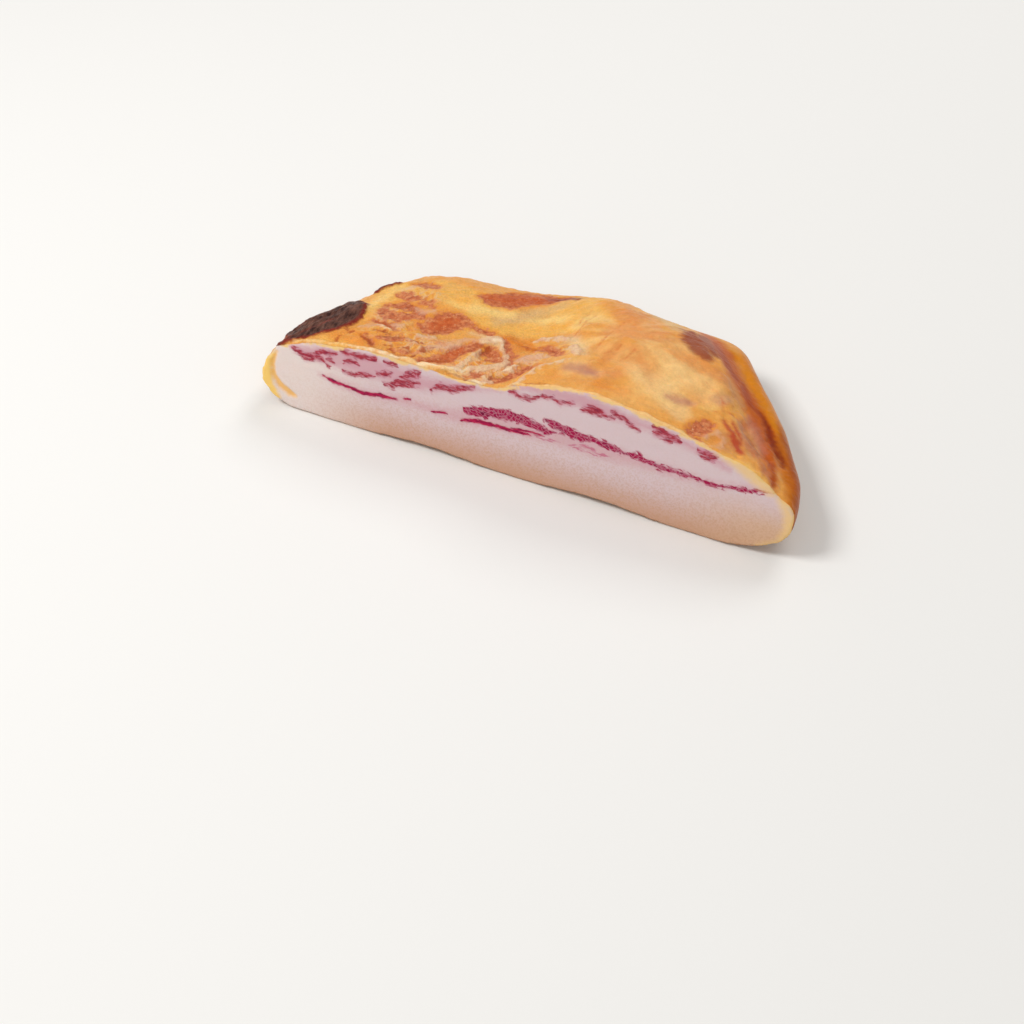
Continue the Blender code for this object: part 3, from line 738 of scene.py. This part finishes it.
# Marbling on the cut: streaks of x, height up the cut and half thickness in mm.
# The streaks of one layer follow each other from left to right.
marbling = {
    "band": [
        [[(-25, 29.9, 1.4), (-22, 31, 2.5), (-17, 31.9, 3), (-12, 33.2, 2.9), (-5, 34.3, 2.7),
          (2, 34.8, 2.5), (8, 34, 2.5), (14, 32.6, 1.8), (21, 32.7, 0.6)]],
        [[(14, 38, 0.6), (19, 37, 2), (25, 35.4, 2.6), (33, 35.1, 2.4), (38, 35.2, 1.5), (42, 34.8, 2.1),
          (47, 34.2, 2.2), (51, 33.3, 1.5), (55, 32.8, 1.2), (61, 33.5, 1.9), (66, 32.5, 1.4),
          (75, 31.4, 1.4), (78, 31.5, 0.9), (83, 31.5, 1.4), (88, 31.3, 0.9), (92, 31.4, 1.3),
          (96, 30.9, 0.9), (100, 31.2, 1), (105, 31.9, 1.2), (111, 32.7, 0.9), (120, 35, 0.8),
          (124, 36, 0.4)]],
    ],
    "line": [
        [[(-102, 24.9, 0.3), (-97, 23.9, 0.8), (-87, 23.1, 0.9), (-80, 22.3, 1.3), (-75, 23, 1.2),
          (-70, 23.7, 1.3), (-66, 23.9, 0.9), (-61, 24.5, 0.3)],
         [(-58, 25.9, 0.3), (-56, 26.6, 0.7), (-53, 27, 0.3)],
         [(-43, 23.9, 0.3), (-38, 25, 0.8), (-34, 25.2, 0.4)],
         [(-28, 24.2, 0.4), (-24, 25.3, 1.1), (-18, 26.1, 1.4), (-11, 26.3, 1.2), (-5, 26.5, 1.1),
          (1, 27, 1), (8, 27.4, 0.5)]],
        [[(-2, 28.1, 0.4), (3, 28.5, 0.9), (9, 29.1, 0.8), (15, 29.4, 0.3)]],
    ],
    "rose": [
        [[(-117.5, 35.4, 0.6), (-114, 34, 1.7), (-111, 32.9, 2), (-107.5, 33.4, 2), (-104, 34.9, 1.9),
          (-101, 33.8, 1), (-97, 31, 0.4)],
         [(-91, 31.3, 0.5), (-87, 31.1, 0.9), (-84, 31.4, 0.6), (-79.5, 32.7, 1.1), (-75, 32.9, 0.8),
          (-71.5, 33.4, 0.4)],
         [(-69, 30.9, 0.6), (-66, 31.2, 1), (-61.5, 33.2, 1.6), (-57.5, 34.4, 1.6), (-53, 36.1, 1.1),
          (-49, 36.9, 0.5)],
         [(-44, 35.5, 0.4), (-41, 37.6, 0.7), (-38, 39.2, 1.6), (-35, 39, 1.3), (-31.5, 39.8, 1.5),
          (-29, 41.4, 1.2), (-24, 43.2, 0.7), (-20.5, 44.6, 0.4)],
         [(-5, 47.4, 0.6), (-1, 47.8, 1), (2, 46.8, 0.5), (5, 46.8, 0.7), (9, 48.2, 0.6), (13, 50.3, 0.6),
          (17, 50.9, 0.6), (21, 49.7, 0.8), (24, 50.9, 0.6), (28, 51.6, 0.3)],
         [(31, 49, 0.4), (34, 50.3, 1.3), (38, 51, 2.2), (41, 50.7, 1.7), (44, 49.8, 0.6), (48, 49.8, 0.3)],
         [(51, 52, 0.7), (53, 51, 0.9), (57, 49, 1), (61, 47.5, 0.3)],
         [(65, 51.5, 0.3), (71, 50, 1.5), (75, 49, 1.5), (79, 48.3, 0.5)],
         [(86, 46.9, 0.4), (89, 46.2, 1.4), (93, 45.4, 1.6), (97, 44.9, 0.4)]],
        [[(-105, 37.2, 0.7), (-101.5, 38.8, 1.2), (-96.5, 39.3, 1), (-93.5, 40, 0.5)],
         [(-90, 36.8, 0.6), (-86.5, 37.9, 0.9), (-83.5, 38, 0.8), (-81.5, 37.2, 0.4)],
         [(-72, 35.6, 0.6), (-68, 36.6, 1), (-64.5, 37.6, 0.9), (-62.5, 37.7, 0.4)],
         [(-59, 37, 0.7), (-57.5, 38.4, 1.3), (-54.5, 39.8, 1.2), (-51, 41, 1), (-47.5, 43, 0.5)],
         [(45, 52.9, 0.5), (49, 52.3, 0.8), (52, 51, 0.4)],
         [(65, 48.7, 0.3), (70, 47.9, 0.8), (73, 46.8, 0.9), (76, 46.7, 0.4)],
         [(89, 44.2, 0.3), (92, 43.5, 0.8), (96, 43.2, 0.3)]],
        [[(-99, 35.4, 0.6), (-97, 35.3, 1.1), (-95, 34.8, 0.4)],
         [(-92, 42.4, 0.7), (-87.5, 42.2, 1.1), (-83, 42.4, 1.1), (-78.5, 42.7, 1.3), (-74, 43.3, 1.1),
          (-72, 43.4, 0.5)],
         [(-68.5, 43.4, 0.6), (-65.5, 43.6, 0.9), (-61, 44.2, 0.5)],
         [(-57, 40.8, 0.5), (-53.5, 41.9, 0.7), (-49, 43.4, 0.4)]],
    ],
    "wisp": [
        [[(11, 27.7, 0.3), (15, 27.2, 0.6), (20, 27.5, 0.3)],
         [(27, 28.7, 0.3), (31, 29.5, 0.6), (35, 30.2, 0.6), (40, 29.9, 0.5), (43, 28.5, 0.3)]],
        [[(17.5, 28.4, 0.3), (20.5, 28.6, 0.5), (23.5, 28.9, 0.3)],
         [(30, 28.1, 0.3), (34.5, 28, 0.6), (38, 27.6, 0.5), (42, 27.6, 0.3)]],
        [[(36, 30.8, 0.2), (40, 29.1, 0.6), (44, 28.6, 0.6), (47, 29.5, 0.3)]],
    ],
    "mauve": [
        [[(-119, 36, 1), (-105, 36.5, 4), (-85, 38, 5.5), (-68, 38, 5), (-50, 38, 4), (-34, 41, 2.5),
          (-14, 45, 0.5), (-2, 50, 1), (16, 54, 3), (34, 54, 3.5), (52, 52, 2.5), (72, 49.5, 2),
          (92, 45.5, 2), (104, 42, 0.5)]],
    ],
    "blush": [
        [[(-104, 25, 0.5), (-80, 23, 2), (-58, 25, 2), (-38, 25, 2.5), (-18, 28, 4.5), (6, 30, 4.5),
          (34, 31, 4.5), (60, 31, 3), (90, 31, 2), (124, 36, 0.5)]],
    ],
}
# What the curves' 0 to 1 stands for, and how far past its ends a streak runs out, in mm.
streakSpan = {"x": 140, "height": 64, "gap": -4, "thickness": 10, "taper": 1.5}


# One layer of streaks as a curve node: how far inside a streak a place on the cut is, in mm.
def streakField(tree, along, height, layer):
    gap, taper = streakSpan["gap"], streakSpan["taper"]
    knots = []
    for streak in layer:
        first, last = streak[0], streak[-1]
        knots += [(first[0] - taper, first[1], gap), *streak, (last[0] + taper, last[1], gap)]
    shaped = addNode(tree, "RGBCurve", {"Color": along})
    mapping = shaped.node.mapping
    for curve in mapping.curves[:2]:
        while len(curve.points) < len(knots):
            curve.points.new(0.5, 0.5)
    for i, (x, level, half) in enumerate(knots):
        place = (x / streakSpan["x"] + 1) / 2
        share = (half - gap) / streakSpan["thickness"]
        mapping.curves[0].points[i].location = (place, level / streakSpan["height"])
        mapping.curves[1].points[i].location = (place, share)
        for curve in mapping.curves[:2]:
            curve.points[i].handle_type = "AUTO_CLAMPED"
    mapping.update()
    spine = addNode(tree, "SeparateColor", {"Color": shaped})
    thickness = spine.node.outputs[1]
    level = addNode(tree, "Math", {0: spine, 1: streakSpan["height"]}, operation="MULTIPLY")
    off = addNode(tree, "Math", {0: height, 1: level}, operation="SUBTRACT")
    far = addNode(tree, "Math", {0: off}, operation="ABSOLUTE")
    half = addNode(tree, "Math", {0: thickness, 1: streakSpan["thickness"], 2: gap}, operation="MULTIPLY_ADD")
    return addNode(tree, "Math", {0: half, 1: far}, operation="SUBTRACT")


# Where a field in mm passes a level, as a mask with a soft edge that a noise sways.
def zone(tree, field, soft, stir=None, sway=0.0, level=0.0, cover=1.0):
    if stir:
        field = addNode(tree, "Math", {0: stir, 1: sway, 2: field}, operation="MULTIPLY_ADD")
    return addNode(tree, "MapRange", {"Value": field, "From Min": level - soft, "From Max": level + soft,
                                      "To Max": cover}, interpolation_type="SMOOTHSTEP")


# Noise with lumps of a size in mm; signed runs from about -1 to 1.
def mottle(tree, place, size, detail=3, seed=0.0, stretch=(1, 1, 1), signed=False, out=0):
    stretched = addNode(tree, "VectorMath", {0: place, 1: stretch}, operation="MULTIPLY")
    value = addNode(tree, "TexNoise", {"Vector": stretched, "W": seed, "Scale": 1 / size, "Detail": detail},
                    out=out, noise_dimensions="4D")
    if signed:
        value = addNode(tree, "MapRange", {"Value": value, "From Min": 0.25, "From Max": 0.75, "To Min": -1},
                        clamp=False)
    return value


# Meat grains: cells that are stretched along the meat. Gives how far inside its cell a place is,
# in mm, and a number from -1 to 1 for each cell.
def grains(tree, place, size, stretch, slant):
    drawn = addNode(tree, "VectorRotate", {"Vector": place, "Angle": slant}, rotation_type="Y_AXIS")
    drawn = addNode(tree, "VectorMath", {0: drawn, 1: (stretch, 1, 1)}, operation="MULTIPLY")
    inside = addNode(tree, "TexVoronoi", {"Vector": drawn, "Scale": 1 / size}, feature="DISTANCE_TO_EDGE")
    inside = addNode(tree, "Math", {0: inside, 1: size}, operation="MULTIPLY")
    cell = addNode(tree, "TexVoronoi", {"Vector": drawn, "Scale": 1 / size}, out="Color")
    cell = addNode(tree, "SeparateColor", {"Color": cell})
    return inside, addNode(tree, "Math", {0: cell, 1: 2, 2: -1}, operation="MULTIPLY_ADD")


# Adds named parts of one side's look to those it has. A fade runs over another part, from where it
# starts to where it ends, between two values. A sum starts from a part or a number and adds shares
# of other parts. A shade is the colours over a part.
def addParts(tree, parts, fades=(), sums=(), shades=()):
    for name, (over, start, end, first, last, curve) in dict(fades).items():
        parts[name] = addNode(tree, "MapRange", {
            "Value": parts[over], "From Min": start, "From Max": end, "To Min": first, "To Max": last,
        }, interpolation_type=curve)
    for name, (total, *shares) in dict(sums).items():
        parts[name] = parts.get(total, total)
        for part, share in shares:
            parts[name] = addNode(tree, "Math", {0: parts[part], 1: parts.get(share, share), 2: parts[name]},
                                  operation="MULTIPLY_ADD")
    for name, (over, stops) in dict(shades).items():
        parts[name] = addNode(tree, "ValToRGB", {"Fac": parts[over]}, stops=stops)


# Colour, roughness and height in mm of one side of the piece, built up layer over layer.
# A layer lies over one of the parts and has that part's colour if none is given. With "soft" it
# shows where the part is past its level, with an edge that is soft by so many mm to both sides
# and that a noise sways by so many mm.
def layOver(tree, surface, layers, parts):
    for layer in layers:
        given = {key: parts.get(value, value) for key, value in layer.items() if key != "colour"}
        mask = given["over"]
        if "soft" in given:
            mask = zone(tree, mask, given["soft"], given.get("noise"), given.get("sway", 0.0),
                        given.get("level", 0.0), given.get("cover", 1.0))
        if "within" in given:
            mask = addNode(tree, "Math", {0: mask, 1: given["within"]}, operation="MULTIPLY")
        name = layer.get("colour", layer["over"])
        colour = paint[name] if name in paint else parts[name]
        surface["colour"] = addNode(tree, "Mix", {0: mask, 6: surface["colour"], 7: colour}, out=2,
                                    data_type="RGBA")
        if "rough" in given:
            surface["rough"] = addNode(tree, "Mix", {0: mask, 2: surface["rough"], 3: given["rough"]})
        if "rise" in given:
            surface["height"] = addNode(tree, "Math", {0: mask, 1: given["rise"], 2: surface["height"]},
                                        operation="MULTIPLY_ADD")
    return surface


# The skin's noises: size of the lumps in mm, detail and seed.
skinNoises = {
    "slow": {"size": 8, "detail": 3, "seed": 2, "signed": True},
    "middle": {"size": 5, "detail": 3, "seed": 5, "signed": True},
    "wobble": {"size": 2.6, "detail": 2, "seed": 3, "signed": True},
    "fine": {"size": 1.1, "detail": 3, "seed": 4},
    "grit": {"size": 0.9, "detail": 2, "seed": 6, "signed": True},
    "fibre": {"size": 2.4, "detail": 5, "seed": 7},
    "crustGrain": {"size": 2.2, "detail": 4, "seed": 9, "stretch": (1.4, 0.4, 1)},
    "rindGrain": {"size": 3, "detail": 5, "seed": 8},
}
skinLook = {
    "marble": {"W": 5, "Scale": 1 / 9, "Detail": 5, "Roughness": 0.6, "Distortion": 1.6},  # 9 mm folds
    "glassy": 0.1,  # how coarse the shelf is
    "gritShade": 0.16,  # how much grit shades the skin where it is coarsest
    "height": ("evenBumps", ("marbleInSwirl", 1.6), ("wobble", 0.12)),
}
# Masks that fade out round a mark, with their softness in mm.
skinMasks = {"nearShelf": ("shelf", 4), "nearSwirl": ("swirl", 4), "nearMeat": ("meat", 1.5)}
skinFades = {
    "coarse": ("x", 20, -20, 0.3, 0.8, "LINEAR"),  # even on the right half, coarse on the left
    "rough": ("fine", 0, 1, 0.26, 0.44, "LINEAR"),
}
skinSums = {
    "shade": (0.98, ("slow", 0.08), ("wobble", 0.07), ("grit", "gritShade")),  # brightness of the wash
    "bumps": ("fine", ("grit", 0.12)),
    "frayed": ("meat", ("grit", 0.6), ("fibre", 5)),  # mm
    "blotches": (0.3, ("nearSwirl", 0.7)),
    "grainy": ("fibre", ("grit", 0.05)),
    "folds": ("marble", ("grit", 0.03)),
}
skinShades = {
    "meatShade": ("grainy", ((0.34, "meatDark"), (0.48, "meat"), (0.64, "meatLight"))),
    "filmShade": ("grainy", ((0.35, "filmPink"), (0.55, "film"))),
    "foldShade": ("folds", ((0.3, "meat"), (0.38, "meatLight"), (0.44, "orange"), (0.5, "gold"),
                            (0.56, "film"), (0.6, "filmPink"), (0.66, "orangeDeep"), (0.74, "meat"))),
    # the crust's grain runs from its dark brown to a paler tone that holds a painted sheen
    "crustShade": ("crustGrain", ((0.36, "crust"), (0.68, "crustLight"))),
    "rindShade": ("rindGrain", ((0.35, "rindBrown"), (0.6, "rindTan"))),
}
skinLayers = [
    {"over": "middle", "soft": 0.3, "level": 0.35, "cover": 0.5, "colour": "goldLight",
     "within": "blotches"},
    {"over": "slow", "soft": 0.4, "noise": "middle", "sway": -0.6, "level": 0.45, "cover": 0.5,
     "colour": "orangeDeep", "within": "blotches"},
    {"over": "meat", "soft": 2, "noise": "slow", "sway": 2, "level": -1.6, "cover": 0.55,
     "colour": "orangeDeep"},
    {"over": "nearSwirl", "colour": "foldShade", "within": 0.6},
    {"over": "frayed", "soft": 1.1, "noise": "wobble", "sway": 1.6, "level": 2.1, "cover": 0.9,
     "colour": "meatShade", "rough": 0.42, "rise": -0.15},
    {"over": "ember", "soft": 3, "noise": "wobble", "sway": 1.4, "cover": 0.65},
    # painted glints: pale specks in and around the meat
    {"over": "grit", "soft": 0.3, "level": 0.7, "cover": 0.5, "colour": "film", "within": "nearMeat"},
    {"over": "glow", "soft": 3, "noise": "slow", "sway": 1.6, "level": -0.5, "cover": 0.9},
    {"over": "bruise", "soft": 2.4, "noise": "fibre", "sway": 4, "level": 1, "cover": 0.5},
    {"over": "plum", "soft": 2.6, "noise": "fibre", "sway": 4, "level": 1.6, "cover": 0.85},
    {"over": "seam", "soft": 2, "noise": "slow", "sway": 1, "level": -0.6, "cover": 0.85},
    {"over": "maroon", "soft": 1.9, "noise": "wobble", "sway": 0.7, "level": -0.3, "cover": 0.85},
    {"over": "red", "soft": 2.2, "noise": "wobble", "sway": 1.2, "cover": 0.9},
    {"over": "vein", "soft": 0.8, "noise": "wobble", "sway": 0.7, "cover": 0.65},
    {"over": "veil", "soft": 1.6, "noise": "wobble", "sway": 1.4, "cover": 0.7, "colour": "filmPink",
     "rough": 0.32},
    {"over": "film", "soft": 0.8, "noise": "wobble", "sway": 1.2, "level": -0.2, "cover": 0.9,
     "colour": "filmShade", "rough": 0.32, "rise": 0.3},
    # the rim along the cut: pale gold, partly painted highlight, and glossier
    {"over": "ridge", "soft": 1, "noise": "wobble", "sway": 1, "cover": 0.8, "rough": 0.32},
    {"over": "fleck", "soft": 0.8, "noise": "wobble", "sway": 1.1, "level": -0.3, "cover": 0.85},
    # painted shadow in the folds
    {"over": "gap", "soft": 0.8, "noise": "wobble", "sway": 0.8, "cover": 0.65},
    # painted highlights: pale cream and a little glossier
    {"over": "gleam", "soft": 0.9, "noise": "wobble", "sway": 0.6, "cover": 0.75, "rough": 0.25},
    {"over": "rind", "colour": "rindShade", "rough": 0.6},
    {"over": "crust", "soft": 1.1, "noise": "wobble", "sway": 0.8, "level": -0.5, "colour": "crustRim",
     "rough": 0.3},
    # the crust: its grain, with painted sheen on the paler parts
    {"over": "crust", "soft": 1.3, "noise": "slow", "sway": 1, "level": 1, "colour": "crustShade",
     "rough": 0.34},
]


# Cured fat with dried meat, films and crusts on it, and the rind under it.
def skinSurface(tree, place, field):
    parts = {**field, "x": addNode(tree, "SeparateXYZ", {0: place})}
    for name, settings in skinNoises.items():
        parts[name] = mottle(tree, place, **settings)
    for name, (mark, soft) in skinMasks.items():
        parts[name] = zone(tree, field[mark], soft)
    marble = addNode(tree, "TexNoise", {"Vector": place, **skinLook["marble"]}, noise_dimensions="4D")
    parts["marble"] = marble
    addParts(tree, parts, skinFades)
    coarse = addNode(tree, "Mix", {0: parts["nearShelf"], 2: parts["coarse"], 3: skinLook["glassy"]})
    parts["gritShade"] = addNode(tree, "Math", {0: coarse, 1: skinLook["gritShade"]}, operation="MULTIPLY")
    parts["marbleInSwirl"] = addNode(tree, "Math", {0: marble, 1: parts["nearSwirl"]}, operation="MULTIPLY")
    addParts(tree, parts, (), skinSums, skinShades)
    parts["evenBumps"] = addNode(tree, "Math", {0: parts["bumps"], 1: coarse}, operation="MULTIPLY")
    addParts(tree, parts, (), {"height": skinLook["height"]})
    parts["blotches"] = addNode(tree, "Mix", {0: parts["nearShelf"], 2: parts["blotches"], 3: 0})
    wash = addNode(tree, "Attribute", out="Color", attribute_name="wash")
    surface = {
        "colour": addNode(tree, "VectorMath", {0: wash, "Scale": parts["shade"]}, operation="SCALE"),
        "rough": parts["rough"],
        "height": parts["height"],
    }
    return layOver(tree, surface, skinLayers, parts)


# How places on the cut stray before the streaks are drawn: size of the lumps, reach along the cut,
# into it and up it, all in mm, and seed.
cutStray = ((6, (3, 0, 1.2), 11), (1.6, (1.4, 0, 1), 12))
cutNoises = {
    "speckle": {"size": 0.8, "detail": 2, "seed": 14},
    "broken": {"size": 1.3, "detail": 3, "seed": 15, "stretch": (0.6, 1, 1), "signed": True},
    "drape": {"size": 9, "detail": 3, "seed": 16, "signed": True},
}
cutLook = {
    "rough": 0.45,
    "speckleHeight": 0.16,  # mm
    "roseFull": 0.7,  # mm inside a rose streak, past which it is no denser
    "streakFibre": {"size": 1.2, "detail": 3, "seed": 17, "stretch": (0.35, 1, 1.3), "signed": True},
    "bandGrain": {"size": 1.4, "stretch": 0.55, "slant": math.radians(-18)},
    "atRim": ("nearRim", 1.4, 0.1, 0, 1, "SMOOTHSTEP"),
}
cutFades = {
    "low": ("height", 23, 0, 0, 1, "SMOOTHSTEP"),
    "left": ("x", -60, -118, 0, 1, "SMOOTHSTEP"),
    "right": ("x", 70, 130, 0, 0.8, "SMOOTHSTEP"),
    "lowRight": ("height", 34, 14, 0, 1, "SMOOTHSTEP"),
    "onTop": ("height", 10, 20, 0, 1, "LINEAR"),
    "grain": ("height", 36, 8, 0.1, 1, "LINEAR"),
    "apart": ("inGrain", 0, 0.22, 0.45, 1, "LINEAR"),  # paler gaps between the grains of the band
}
cutSums = {
    "cellShare": (0.5, ("cell", 0.5)),
    "fibreShare": (0.6, ("fibrous", 0.6)),
    "brokenShare": (0.5, ("broken", 0.5)),
    "grainMost": (0.5, ("left", -0.36)),  # the left end is the smoothest
    "nearRim": ("rim", ("broken", 0.5), ("hang", 2), ("left", 0.7)),  # mm
}
cutShades = {
    "bandShade": ("cellShare", ((0, "crimsonDark"), (0.4, "crimson"))),
    "lineShade": ("fibreShare", ((0.5, "crimsonLine"), (1, "crimsonDark"))),
    "roseShade": ("brokenShare", ((0.1, "roseDark"), (0.6, "rose"), (1, "faint"))),
}
cutLayers = [
    {"over": "left", "colour": "cutLeft"},
    {"over": "right", "colour": "cutRight", "within": "lowRight"},
    {"over": "speckle", "soft": 0.12, "level": 0.53, "cover": "grainShare", "colour": "cutGrain"},
    {"over": "mauve", "soft": 3, "noise": "broken", "sway": 1, "cover": 0.75},
    {"over": "blush", "soft": 3, "noise": "broken", "sway": 1, "cover": 0.4},
    {"over": "wisp", "soft": 0.45, "noise": "fibrous", "sway": 0.8, "level": 0.15, "cover": 0.7},
    {"over": "rose", "soft": 1.4, "level": -0.7, "cover": 0.6, "colour": "faint"},
    {"over": "roseCore", "soft": 1, "noise": "fibrous", "sway": 1.5, "level": -0.1, "colour": "roseShade",
     "rise": -0.1},
    {"over": "band", "soft": 1, "noise": "cell", "sway": 0.5, "cover": 0.75, "colour": "faint",
     "rise": -0.1},
    {"over": "band", "soft": 0.6, "noise": "cell", "sway": 0.9, "colour": "bandShade", "within": "apart"},
    {"over": "line", "soft": 0.8, "level": -0.2, "cover": 0.45, "colour": "wisp"},
    {"over": "line", "soft": 0.4, "noise": "fibrous", "sway": 0.35, "level": 0.2, "colour": "lineShade",
     "rise": -0.1},
    {"over": "atRim", "colour": "rimShade"},
    {"over": "cutYellow", "soft": 2.4, "noise": "broken", "sway": 0.6, "cover": 0.8, "colour": "rimTop"},
    {"over": "lip", "soft": 1.6, "noise": "broken", "sway": 0.5, "cover": 0.9},
    {"over": "groove", "soft": 1.2, "noise": "broken", "sway": 0.5, "cover": 0.85},
]


# The cut face: lard-white fat, rose meat streaks and one granular crimson band.
def cutSurface(tree, place, field):
    lean = jowl["cutLean"]
    x, y, z = addNode(tree, "SeparateXYZ", {0: place}).node.outputs
    back = addNode(tree, "Math", {0: y, 1: math.sin(lean), 2: -cutFootY * math.sin(lean)},
                   operation="MULTIPLY_ADD")
    height = addNode(tree, "Math", {0: z, 1: math.cos(lean), 2: back}, operation="MULTIPLY_ADD")
    flat = addNode(tree, "CombineXYZ", {0: x, 2: height})
    strayed = flat
    for size, reach, seed in cutStray:
        stray = mottle(tree, flat, size, 2, seed, (0.6, 1, 1.2), out=1)
        stray = addNode(tree, "VectorMath", {0: stray, 1: (0.5, 0.5, 0.5)}, operation="SUBTRACT")
        strayed = addNode(tree, "VectorMath", {0: stray, 1: [2 * r for r in reach], 2: strayed},
                          operation="MULTIPLY_ADD")
    strayedX = addNode(tree, "SeparateXYZ", {0: strayed})
    along = addNode(tree, "MapRange", {"Value": strayedX, "From Min": -streakSpan["x"],
                                       "From Max": streakSpan["x"]})

    parts = {**field, "x": x, "height": height}
    for name, layers in marbling.items():
        for layer in layers:
            streaks = streakField(tree, along, strayedX.node.outputs[2], layer)
            if name in parts:
                streaks = addNode(tree, "Math", {0: parts[name], 1: streaks}, operation="MAXIMUM")
            parts[name] = streaks
    parts["roseCore"] = addNode(tree, "Math", {0: parts["rose"], 1: cutLook["roseFull"]}, operation="MINIMUM")
    for name, settings in cutNoises.items():
        parts[name] = mottle(tree, flat, **settings)
    parts["fibrous"] = mottle(tree, strayed, **cutLook["streakFibre"])
    parts["inGrain"], parts["cell"] = grains(tree, strayed, **cutLook["bandGrain"])
    addParts(tree, parts, cutFades)
    parts["hang"] = addNode(tree, "Math", {0: parts["drape"], 1: parts["onTop"]}, operation="MULTIPLY")
    addParts(tree, parts, (), cutSums, cutShades)
    addParts(tree, parts, {"atRim": cutLook["atRim"]})
    parts["grainShare"] = addNode(tree, "Math", {0: parts["grain"], 1: parts["grainMost"]},
                                  operation="MULTIPLY")
    parts["rimShade"] = addNode(tree, "Mix", {0: parts["onTop"], 6: paint["rimBottom"], 7: paint["rimTop"]},
                                out=2, data_type="RGBA")
    surface = {
        "colour": addNode(tree, "Mix", {0: parts["low"], 6: paint["cutFat"], 7: paint["cutLow"]}, out=2,
                          data_type="RGBA"),
        "rough": cutLook["rough"],
        "height": addNode(tree, "Math", {0: parts["speckle"], 1: cutLook["speckleHeight"]},
                          operation="MULTIPLY"),
    }
    return layOver(tree, surface, cutLayers, parts)


# Jowl that was salted and air-dried. Its fat is waxy and slightly clear, so it lets a little warm
# light in and has a low, soft sheen, and the dried meat on it is duller.
finish = {
    "name": "curedPorkJowl",
    "cutEdge": (0.75, 0.45),  # mm behind the cut, where the skin's finish gives way to the cut's
    "clearness": 0.12,  # share of the light that goes in
    "clearTint": (1, 0.45, 0.3),
    "clearDepth": 2.5,  # mm
    "ior": 1.44,
    "sheen": 0.13,
    "bump": 0.8,
}


def curedPork():
    material = bpy.data.materials.new(finish["name"])
    material.use_nodes = True
    tree = material.node_tree
    shader = tree.nodes["Principled BSDF"]
    place = addNode(tree, "VectorMath", {0: addNode(tree, "TexCoord", out="Object"), "Scale": 1 / mm},
                    operation="SCALE")
    field = {name: addNode(tree, "Attribute", out="Fac", attribute_name=name)
             for name in [*marks, *cutMarks, "rim", "cutDepth", "rind"]}
    skin = skinSurface(tree, place, field)
    cut = cutSurface(tree, place, field)
    onFace = addNode(tree, "MapRange", {"Value": field["cutDepth"], "From Min": finish["cutEdge"][0],
                                        "From Max": finish["cutEdge"][1]}, interpolation_type="SMOOTHSTEP")
    colour = addNode(tree, "Mix", {0: onFace, 6: skin["colour"], 7: cut["colour"]}, out=2, data_type="RGBA")
    rough = addNode(tree, "Mix", {0: onFace, 2: skin["rough"], 3: cut["rough"]})
    height = addNode(tree, "Mix", {0: onFace, 2: skin["height"], 3: cut["height"]})
    bump = addNode(tree, "Bump", {"Height": height, "Strength": finish["bump"], "Distance": mm})
    tree.links.new(colour, shader.inputs["Base Color"])
    tree.links.new(rough, shader.inputs["Roughness"])
    tree.links.new(bump, shader.inputs["Normal"])
    shader.inputs["Subsurface Weight"].default_value = finish["clearness"]
    shader.inputs["Subsurface Radius"].default_value = finish["clearTint"]
    shader.inputs["Subsurface Scale"].default_value = finish["clearDepth"] * mm
    shader.inputs["IOR"].default_value = finish["ior"]
    shader.inputs["Specular IOR Level"].default_value = finish["sheen"]
    print("finish:", len(tree.nodes), "nodes")
    return material


studio = {
    "cameraPlace": (0.2169, -0.5414, 0.5239),
    "lookDown": math.radians(46),
    "turn": math.radians(24.13),
    "lens": 55.0,
    "sensor": 36.0,
    "nearest": 0.01,
    "floorSize": 4.0,
    "floorColour": "#f1efeb",
    "floorRough": 0.8,
    "worldStrength": 0.38,
    "lights": {  # place and size across in metres, watts, and whether it leaves a sheen
        "keyLight": ((-0.8, -0.5, 1.3), 0.5, 13.5, True),
        "frontFill": ((0.7, -1.4, 0.7), 1.2, 3.4, True),
        "backLight": ((0.2, 1.1, 1.3), 0.8, 9, False),
    },
}


def makeStudio():
    cameraData = bpy.data.cameras.new("camera")
    cameraData.lens = studio["lens"]
    cameraData.sensor_width = studio["sensor"]
    cameraData.clip_start = studio["nearest"]
    camera = bpy.data.objects.new("camera", cameraData)
    camera.location = studio["cameraPlace"]
    camera.rotation_euler = (math.pi / 2 - studio["lookDown"], 0, studio["turn"])
    bpy.context.collection.objects.link(camera)
    bpy.context.scene.camera = camera
    bpy.ops.object.select_all(action="DESELECT")
    bpy.ops.mesh.primitive_plane_add(size=studio["floorSize"], location=(0, 0, 0))
    floor = bpy.context.object
    floor.name = "floor"
    # matt off-white board: pale, with no sheen to speak of
    material = bpy.data.materials.new("paleFloor")
    material.use_nodes = True
    shader = material.node_tree.nodes["Principled BSDF"]
    shader.inputs["Base Color"].default_value = linear(studio["floorColour"])
    shader.inputs["Roughness"].default_value = studio["floorRough"]
    floor.data.materials.append(material)
    for name, (place, size, power, sheen) in studio["lights"].items():
        lightData = bpy.data.lights.new(name, "AREA")
        lightData.size = size
        lightData.energy = power
        light = bpy.data.objects.new(name, lightData)
        light.location = place
        light.visible_glossy = sheen
        light.rotation_euler = (-Vector(place)).to_track_quat("-Z", "Y").to_euler()
        bpy.context.collection.objects.link(light)
    world = bpy.data.worlds.new("studioWorld")
    world.use_nodes = True
    sky = world.node_tree.nodes["Background"]
    sky.inputs["Color"].default_value = (1, 1, 1, 1)
    sky.inputs["Strength"].default_value = studio["worldStrength"]
    bpy.context.scene.world = world
    bpy.context.scene.view_settings.view_transform = "Standard"


body, cutRim = makeBody()
shapeBody(body, cutRim)
body.data.materials.append(curedPork())
pickOnly(body)
bpy.ops.object.shade_smooth()
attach(body, "root")
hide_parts(jowl["node"])
makeStudio()
print("studio ready")
